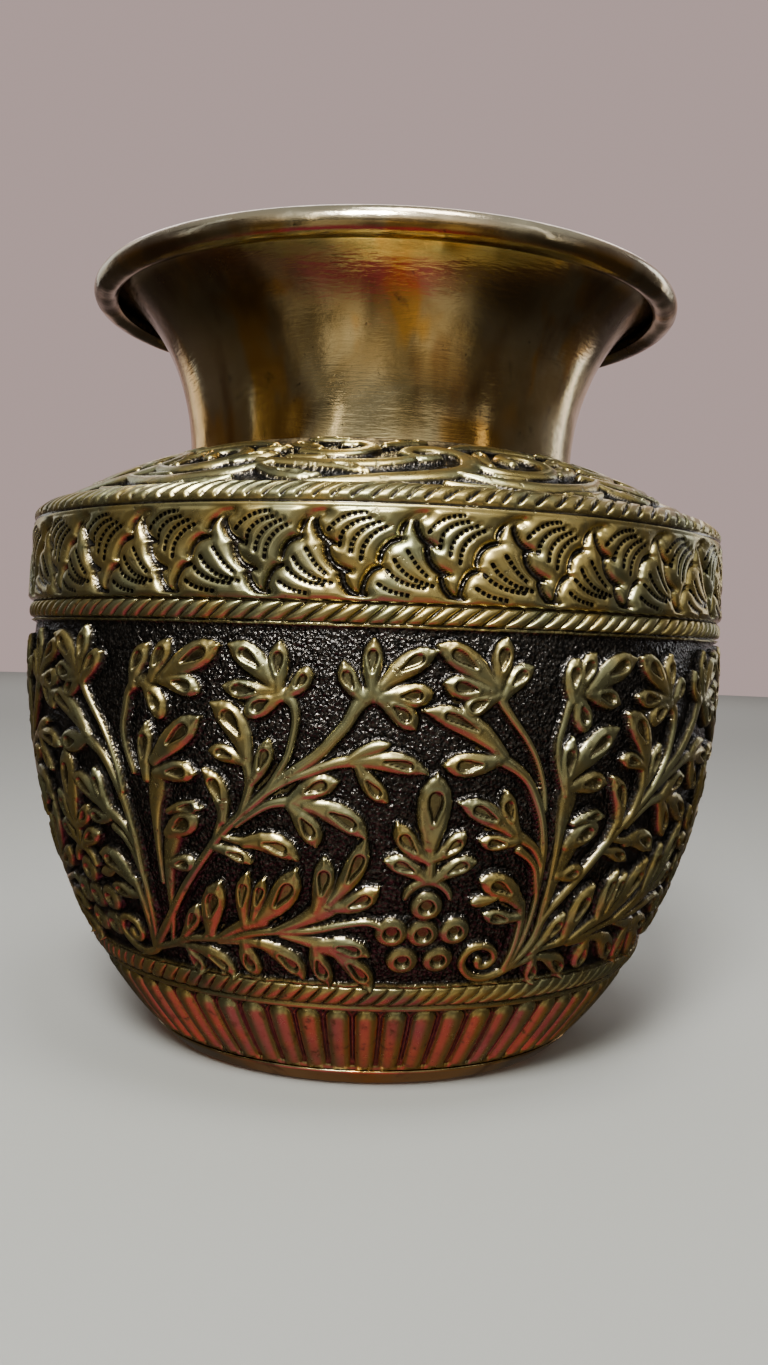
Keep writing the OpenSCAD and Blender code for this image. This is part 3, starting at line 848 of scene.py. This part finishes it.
def collar():
    roll_in, roll_out, roll_end = 1.9, 2.9, -150
    cx, cz = LIP_R - roll_out, TOP_Z - roll_out

    def flare(shift):
        t = np.sin(np.radians(np.linspace(0, 90, 60)))
        out = NECK_R - shift + (cx - NECK_R + shift) * (1 - (1 - t * t) ** 0.627)
        return list(zip(out, NECK_Z + (TOP_Z - NECK_Z - SHEET + shift) * t))

    def roll(radius, start, end, count):
        return corner_arc((cx, cz), radius, start, end, count)

    # The flange under the cone, up the outside, round the rolled lip, and down the inside.
    points = [(NECK_R - SHEET, under(NECK_R) - 1.6), (NECK_R - 0.2, under(NECK_R) - 1.9),
              (FLANGE_R - 0.4, under(FLANGE_R - 0.4) - CONE_DROP),
              (FLANGE_R, under(FLANGE_R) - 0.6)]
    points += [(radius, under(radius) - 0.05) for radius in (FLANGE_R, NECK_R + 2, NECK_R)]
    points += flare(0)[:-1] + roll(roll_in, 80, roll_end, 40)
    points += corner_arc(roll((roll_in + roll_out) / 2, roll_end, roll_end, 1)[0], 0.5, 30,
                         -150, 7)[1:-1]
    points += roll(roll_out, roll_end, 90, 60) + flare(SHEET)[-2::-1]
    r, z = (column[:, None] for column in np.array(points).T)
    theta = angles(COARSE)
    # The whole collar wanders together, so the sheet keeps its thickness.
    height = (z - NECK_Z) / (TOP_Z - NECK_Z)
    free = ease(height * 1.5)
    dent = np.zeros((len(z), COARSE))
    for angle, level, reach, deep in DENTS:
        turn = (theta - angle + 180) % 360 - 180
        dent += deep * ridge(np.hypot(np.radians(turn) * r, (height - level) * 40), reach)
    push = (0.16 * wave(theta, 0.0, 35, 7, 5) * free
            - dent * ease((0.9 - height) / 0.2)) * ease((height - 0.01) / 0.05)
    brown = ease((height - 0.45) / 0.3) * (1 - ease((height - 0.88) / 0.06))
    tone = 1 - brown * (0.8 + 0.2 * wave(theta, z, 37, 9, 12, 9))
    # The grain value of the collar marks the lip, where the material paints a highlight.
    return build("collar", [Belt(r + push, z + 0.12 * wave(theta, 0.0, 36, 7, 4) * free,
                                 tone=np.clip(tone, 0, 1), grain=ease((height - 0.9) / 0.04))],
                 closed=True)


def turned(name, outline, step, seed, amount, tone, round_off=0):
    """A closed outline turned round the axis, slightly uneven."""
    p = resample(outline + outline[:1], step)[:-1]
    for _ in range(round_off):
        p = 0.25 * np.roll(p, 1, 0) + 0.5 * p + 0.25 * np.roll(p, -1, 0)
    r, z = (column[:, None] for column in p.T)
    nr, nz = np.roll(z, -1) - np.roll(z, 1), np.roll(r, 1) - np.roll(r, -1)
    push = amount * wave(angles(COARSE), z, seed, 12, 90, 3) / (np.hypot(nr, nz) + 1e-9)
    return build(name, [Belt(r + nr * push, z + nz * push, tone=tone, grain=0.1)], closed=True)


def wire():
    radius = (WIRE_HIGH - WIRE_LOW) / 2
    centre = (WIRE_OUT - radius, WIRE_LOW + radius)
    return turned("wire", corner_arc(centre, radius - 0.03, 0, 360, 29)[:-1], 9.0, 41, 0.02, 0.35)


def foot():
    stand_out, top = 46.3, BOWL_LOW - 0.02
    outline = [(FOOT_IN_R, FOOT_LOW), (stand_out - 0.5, FOOT_LOW), (stand_out + 0.2, 0.5),
               (FOOT_TOP_R - 0.35, FOOT_EDGE_Z - 0.9), (FOOT_TOP_R, FOOT_EDGE_Z - 0.45),
               (FOOT_TOP_R - 0.5, FOOT_EDGE_Z - 0.25), (BOTTOM_R, top), (FOOT_IN_R, top)]
    return turned("foot", outline, 0.35, 43, 0.0, 0.8, round_off=2)


def braze_rings():
    """Name, node, step, seed, unevenness, tone and outline of each ring of brazing metal."""
    def about(r, z, *points):
        return [(r + out, z + up) for out, up in points]

    lap = SKIRT_LOW - 1.1
    return (
        ("belly_seam", "belly_braze", 0.2, 51, 0.03, 0.15,
         about(FRIEZE_R - 1.5, SEAM_Z, (-0.3, -0.02), (0, -0.3), (0.55, -0.18), (0.6, 0.22),
               (-0.1, 0.05))),
        ("belly_seam_inner", "belly_braze", 0.22, 54, 0.04, 0.15,
         about(inside(SKIRT_LOW) - 0.05, SKIRT_LOW, (0.1, 0.1), (-0.7, -0.02), (-0.3, -0.45))
         + [(inside(lap) + 0.1, lap)]),
        ("neck_seam", "neck_braze", 0.22, 52, 0.06, 0.1,
         about(NECK_R, NECK_Z, (-0.1, -0.6), (0.95, -0.75), (0.7, -0.4), (0.35, 0.0),
               (0.12, 0.35), (0.02, 0.6), (-0.1, 0.5))),
        ("neck_seam_inner", "neck_braze", 0.22, 55, 0.04, 0.15,
         [(FLANGE_R - 0.1, under(FLANGE_R) + 0.1)]
         + [(FLANGE_R + out, under(FLANGE_R + out) + up)
            for out, up in ((1.3, 0.05), (0.4, -0.35), (-0.25, -0.7))]),
        ("foot_seam", "foot_braze", 0.2, 53, 0.05, 0.15,
         about(FOOT_IN_R, BOWL_LOW, (0, -0.02), (-1.5, -0.02), (-0.6, -0.55), (-0.02, -1.5))),
    )


# ------------------------------------------------------------------ materials
class Nodes:
    """Small helper that adds shader nodes and links sockets or sets constants."""

    def __init__(self, tree, space="Object"):
        self.tree, self.space = tree, space
        tree.nodes.clear()

    def add(self, kind, inputs, **settings):
        node = self.tree.nodes.new("ShaderNode" + kind)
        for k, v in settings.items():
            setattr(node, k, v)
        for k, v in inputs.items():
            if isinstance(v, bpy.types.NodeSocket):
                self.tree.links.new(v, node.inputs[k])
            else:
                node.inputs[k].default_value = v
        return node

    def value(self, name):
        return self.add("Attribute", {}, attribute_name=name).outputs["Fac"]

    def coords(self):
        return self.add("TexCoord", {}).outputs[self.space]

    def noise(self, scale, detail=3.0, rough=0.6, stretch=None, warp=0.0):
        vector = self.coords()
        if stretch:
            vector = self.add("Mapping", {"Vector": vector, "Scale": stretch}).outputs[0]
        return self.add("TexNoise", {"Vector": vector, "Scale": scale, "Detail": detail,
                                     "Roughness": rough, "Distortion": warp}).outputs["Fac"]

    def maths(self, operation, a, b=0.0):
        return self.add("Math", {0: a, 1: b}, operation=operation).outputs[0]

    def plus(self, a, b):
        return self.maths("ADD", a, b)

    def times(self, a, b):
        return self.maths("MULTIPLY", a, b)

    def about_zero(self, value, factor):
        return self.times(self.maths("SUBTRACT", value, 0.5), factor)

    def spread(self, value, low, high, to_low=0.0, to_high=1.0, kind="SMOOTHSTEP"):
        return self.add("MapRange", {"Value": value, "From Min": low, "From Max": high,
                                     "To Min": to_low, "To Max": to_high},
                        interpolation_type=kind).outputs[0]

    def mix(self, factor, a, b):
        """Colour a where the factor is 0 and b where it is 1."""
        return self.add("Mix", {"Factor": factor, 6: a, 7: b}, data_type="RGBA").outputs[2]

    def bump(self, height, distance, strength):
        return self.add("Bump", {"Height": height, "Distance": distance,
                                 "Strength": strength}).outputs[0]

    def surface(self, kind, inputs, output="OutputMaterial"):
        shader = self.add(kind, inputs)
        self.add(output, {"Surface": shader.outputs[0]})

    def metal(self, colour, metallic, rough, normal):
        self.surface("BsdfPrincipled", {"Base Color": colour, "Metallic": metallic,
                                        "Roughness": rough, "Normal": normal})


def material(name):
    """A new material, and the helper that fills it."""
    mat = bpy.data.materials.new(name)
    mat.use_nodes = True
    return mat, Nodes(mat.node_tree)


def rgb(r, g, b):
    return (r, g, b, 1.0)


def chased_brass():
    mat, n = material("chased_brass")
    tone, grain = n.value("tone"), n.value("grain")
    dots, way = n.value("dots"), n.value("way")
    broad = n.noise(38.0, 3.0, 0.55)
    hue = n.noise(70.0, 2.0, 0.5, warp=0.8)
    small = n.noise(420.0, 4.0)
    fine = n.noise(1500.0)
    # Worn brass on the tops, black-brown patina in the hollows, and brown between, which is
    # partly tarnish that handling has left and partly painted shade on the slopes and creases.
    worn = n.mix(n.spread(broad, 0.35, 0.68), rgb(0.40, 0.40, 0.215), rgb(0.29, 0.27, 0.14))
    worn = n.mix(n.spread(hue, 0.36, 0.64), worn, rgb(0.52, 0.40, 0.14))
    worn = n.mix(n.spread(small, 0.52, 0.75), worn, rgb(0.235, 0.20, 0.10))
    edge = n.plus(tone, n.about_zero(small, 0.55))
    brown = n.mix(n.spread(edge, 0.30, 0.78), rgb(0.12, 0.095, 0.05), worn)
    dark = n.mix(n.spread(fine, 0.4, 0.7), rgb(0.022, 0.021, 0.021), rgb(0.12, 0.108, 0.10))
    colour = n.mix(n.spread(edge, 0.06, 0.40), dark, brown)
    # The punched dots lie along the rows, a pitch apart.
    step = n.maths("FRACT", n.maths("DIVIDE", way, DOT_PITCH))
    dot = n.times(n.maths("LESS_THAN", dots, DOT_R), n.maths("LESS_THAN", step, DOT_SHARE))
    colour = n.mix(dot, colour, rgb(0.012, 0.010, 0.008))
    rough = n.plus(n.spread(edge, 0.1, 0.9, 0.17, 0.29), n.about_zero(small, 0.14))
    cells = n.add("TexVoronoi", {"Vector": n.coords(), "Scale": 1500.0}).outputs["Distance"]
    stipple = n.times(n.plus(cells, fine), grain)
    pits = n.times(n.spread(small, 0.62, 0.74), -0.35)
    height = n.plus(stipple, n.plus(n.times(dot, -1.6), pits))
    n.metal(colour, 0.97, rough, n.bump(height, 0.00026, 1.0))
    return mat


def smooth_brass():
    mat, n = material("smooth_brass")
    clouds = n.noise(24.0, 4.0, warp=0.6)
    blotches = n.noise(60.0, 5.0, 0.62, warp=0.9)
    streaks = n.noise(34.0, 4.0, stretch=(1.0, 1.0, 0.18))
    gold = n.noise(48.0, 3.0, 0.55, stretch=(1.0, 1.0, 0.4), warp=0.5)
    specks = n.noise(700.0)
    colour = n.mix(n.spread(clouds, 0.38, 0.66), rgb(0.80, 0.68, 0.40), rgb(0.60, 0.44, 0.19))
    # Tarnish: field, where it starts and is full, its strength, its colour.
    for field, low, high, strength, stain in (
            (gold, 0.5, 0.6, 0.9, rgb(0.85, 0.47, 0.09)),
            (streaks, 0.52, 0.66, 0.8, rgb(0.27, 0.12, 0.045)),
            (blotches, 0.58, 0.72, 0.8, rgb(0.12, 0.07, 0.03)),
            (specks, 0.66, 0.78, 0.7, rgb(0.07, 0.045, 0.025))):
        colour = n.mix(n.spread(field, low, high, 0.0, strength), colour, stain)
    # Brown under the lip, and a pale lip that is a painted highlight.
    colour = n.mix(n.value("tone"), n.mix(0.88, colour, rgb(0.12, 0.085, 0.042)), colour)
    colour = n.mix(n.times(n.value("grain"), 0.75), colour, rgb(0.80, 0.72, 0.55))
    rough = n.plus(n.spread(blotches, 0.35, 0.72, 0.12, 0.27), n.about_zero(streaks, 0.2))
    brushed = n.noise(260.0, stretch=(1.0, 1.0, 6.0))
    planish = n.noise(75.0, 1.0, 0.4)
    height = n.plus(n.plus(planish, n.times(brushed, 0.10)), n.times(specks, -0.04))
    n.metal(colour, 1.0, rough, n.bump(height, 0.0011, 0.55))
    return mat


def dull_metal(name, light, dark, low, high):
    mat, n = material(name)
    small, fine = n.noise(500.0, 4.0), n.noise(1800.0)
    n.metal(n.mix(n.spread(small, 0.38, 0.62), dark, light), 0.95,
            n.spread(fine, 0.3, 0.7, low, high), n.bump(n.plus(small, fine), 0.00018, 0.8))
    return mat


def show(piece, mat, node):
    piece.data.materials.append(mat)
    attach(piece, "root")
    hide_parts(node)


CHASED = chased_brass()
SMOOTH = smooth_brass()
WIRE = dull_metal("wire_brass", rgb(0.10, 0.07, 0.035), rgb(0.025, 0.018, 0.012), 0.45, 0.65)
BRAZE = dull_metal("braze", rgb(0.20, 0.15, 0.08), rgb(0.05, 0.038, 0.022), 0.40, 0.60)

show(bowl(), CHASED, "belly_bowl")
show(shoulder(), CHASED, "shoulder_shell")
show(collar(), SMOOTH, "neck_collar")
show(foot(), SMOOTH, "foot_ring")
show(wire(), WIRE, "rim_wire")
for ring_name, ring_node, *ring_make, ring_outline in braze_rings():
    show(turned(ring_name, ring_outline, *ring_make), BRAZE, ring_node)


# ------------------------------------------------------------------ stage, lights, camera
# From here on lengths are in metres.
FLOOR_Z = FOOT_LOW / 1000.0
ROSE_GREY = rgb(0.50, 0.375, 0.36)
MIDDLE = (0.0, 0.0, 0.09)


def stage_mesh(name, places, faces, mat):
    mesh = bpy.data.meshes.new(name)
    mesh.from_pydata(places, [], faces)
    mesh.polygons.foreach_set("use_smooth", [True] * len(faces))
    mesh.materials.append(mat)
    ob = link(name, mesh)
    return ob


def floor_plane():
    """A plain pale floor. The brass doesn't show it, but the darker room in front of it."""
    mat, n = material("pale_floor")
    n.surface("BsdfPrincipled", {"Base Color": rgb(0.36, 0.36, 0.345), "Roughness": 0.9})
    corners = [(x, y, FLOOR_Z) for x, y in ((-3, -3), (3, -3), (3, 3), (-3, 3))]
    stage_mesh("floor", corners, [(0, 1, 2, 3)], mat).visible_glossy = False


def backdrop():
    """A plain rose-grey dome that only the camera sees; the brass reflects the room."""
    mat, n = material("rose_grey")
    n.surface("Emission", {"Color": ROSE_GREY, "Strength": 1.0})
    mat.cycles.emission_sampling = "NONE"
    reach, around, rings = 2.9, 96, 24
    places, faces = [], []
    for ring in range(rings):
        up = math.pi / 2 * ring / rings
        for i in range(around):
            turn = 2 * math.pi * i / around
            places.append((reach * math.cos(up) * math.cos(turn),
                           reach * math.cos(up) * math.sin(turn),
                           reach * math.sin(up) + FLOOR_Z))
            a, b = ring * around + i, ring * around + (i + 1) % around
            last = ring == rings - 1
            faces.append((a, rings * around, b) if last else (a, a + around, b + around, b))
    places.append((0.0, 0.0, reach))
    ob = stage_mesh("backdrop", places, faces, mat)
    ob.visible_glossy = ob.visible_diffuse = ob.visible_shadow = False
    ob.visible_transmission = ob.visible_volume_scatter = False


# Name, place, target, width, height, power, colour, and the spread of the beam in degrees.
LIGHTS = (
    ("window", (-0.12, -0.70, 0.74), MIDDLE, 0.22, 0.32, 6.0, (1.0, 1.0, 0.95), 110),
    ("fill", (0.80, -0.48, 0.52), MIDDLE, 0.07, 0.9, 0.3, (1.0, 0.95, 0.86), 180),
    ("strip", (-0.38, -0.80, 0.46), MIDDLE, 0.05, 0.7, 0.28, (1.0, 0.90, 0.72), 180),
    ("side", (-0.92, -0.25, 0.52), MIDDLE, 0.04, 0.9, 0.12, (0.92, 0.98, 1.0), 180),
    ("top", (0.10, -0.25, 0.95), MIDDLE, 0.30, 0.30, 1.7, (1.0, 1.0, 0.96), 110),
    ("back_left", (-0.7, 0.7, 0.5), MIDDLE, 0.3, 0.7, 0.6, (0.95, 0.98, 1.0), 180),
    ("back_right", (0.8, 0.6, 0.4), MIDDLE, 0.2, 0.7, 1.0, (0.98, 0.98, 1.0), 180),
    ("wash", (0.0, 1.9, 1.3), (0.0, 1.9, 0.0), 1.6, 1.6, 16.0, (1.0, 0.97, 0.96), 180),
)


def area_light(name, place, target, width, height, power, colour, beam):
    light = bpy.data.lights.new(name, "AREA")
    light.energy, light.color, light.spread = power, colour, math.radians(beam)
    light.shape, light.size, light.size_y = "RECTANGLE", width, height
    ob = link(name, light)
    ob.location = place
    ob.rotation_euler = (Vector(target) - Vector(place)).to_track_quat("-Z", "Y").to_euler()
    ob.visible_camera = False


def world():
    """The room that the brass reflects, by direction: folds of cloth in front and a
    rose-grey wall behind, a grey ceiling, dull gold below the horizon, and a red cloth at
    the foot. Colours are mixed over ranges of X, Y and Z."""
    room = bpy.data.worlds.new("room")
    bpy.context.scene.world = room
    room.use_nodes = True
    n = Nodes(room.node_tree, "Generated")
    axes = n.add("SeparateXYZ", {0: n.coords()}).outputs
    folds = n.spread(n.noise(1.6, 3.0, 0.55, stretch=(2.2, 2.2, 0.35)), 0.38, 0.62,
                     kind="LINEAR")
    dim, dim_brown = rgb(0.05, 0.042, 0.036), rgb(0.05, 0.04, 0.03)

    def across(axis, low, high, first, second):
        return n.mix(n.spread(axes[axis], low, high), first, second)

    front = across("Z", 0.08, 0.16,
                   n.mix(folds, rgb(0.05, 0.048, 0.042), rgb(0.22, 0.21, 0.18)),
                   n.mix(folds, rgb(0.28, 0.25, 0.19), rgb(0.66, 0.64, 0.56)))
    front = across("X", -0.80, -0.45, dim_brown, front)
    front = across("X", 0.50, 0.82, front, dim)
    behind = across("X", -0.62, -0.35, rgb(0.06, 0.048, 0.043), rgb(0.52, 0.385, 0.37))
    behind = across("X", 0.38, 0.62, behind, rgb(0.10, 0.085, 0.08))
    wall = across("Y", -0.25, 0.35, front, behind)
    wall = across("Z", 0.45, 0.90, wall, rgb(0.30, 0.30, 0.28))
    below = n.mix(folds, rgb(0.15, 0.125, 0.09), rgb(0.66, 0.565, 0.40))
    below = across("X", -0.75, -0.45, rgb(0.045, 0.036, 0.028), below)
    below = across("X", 0.40, 0.70, below, dim)
    below = across("Y", -0.2, 0.2, below, dim)
    cloth = across("Y", -0.02, 0.34, rgb(0.54, 0.085, 0.17), rgb(0.13, 0.075, 0.045))
    cloth = across("X", 0.14, 0.45, cloth, rgb(0.16, 0.095, 0.045))
    cloth = across("X", -0.6, -0.3, rgb(0.09, 0.045, 0.04), cloth)
    colour = across("Z", -0.86, -0.62, cloth, across("Z", -0.32, -0.08, below, wall))
    n.surface("Background", {"Color": colour}, "OutputWorld")


def camera():
    """Fitted to the outline and the bands of the pot in the photograph."""
    data = bpy.data.cameras.new("camera")
    data.lens, data.sensor_width, data.clip_start = 32.1, 36.0, 0.01
    ob = link("camera", data)
    pitch, yaw, roll = (math.radians(a) for a in (-1.6, -0.49, 1.9))
    ob.matrix_world = (Matrix.Translation((0.0, -0.2925, 0.0891))
                       @ Matrix.Rotation(yaw, 4, "Z")
                       @ Matrix.Rotation(math.pi / 2 + pitch, 4, "X")
                       @ Matrix.Rotation(roll, 4, "Z"))
    bpy.context.scene.camera = ob


floor_plane()
backdrop()
world()
for light_row in LIGHTS:
    area_light(*light_row)
camera()
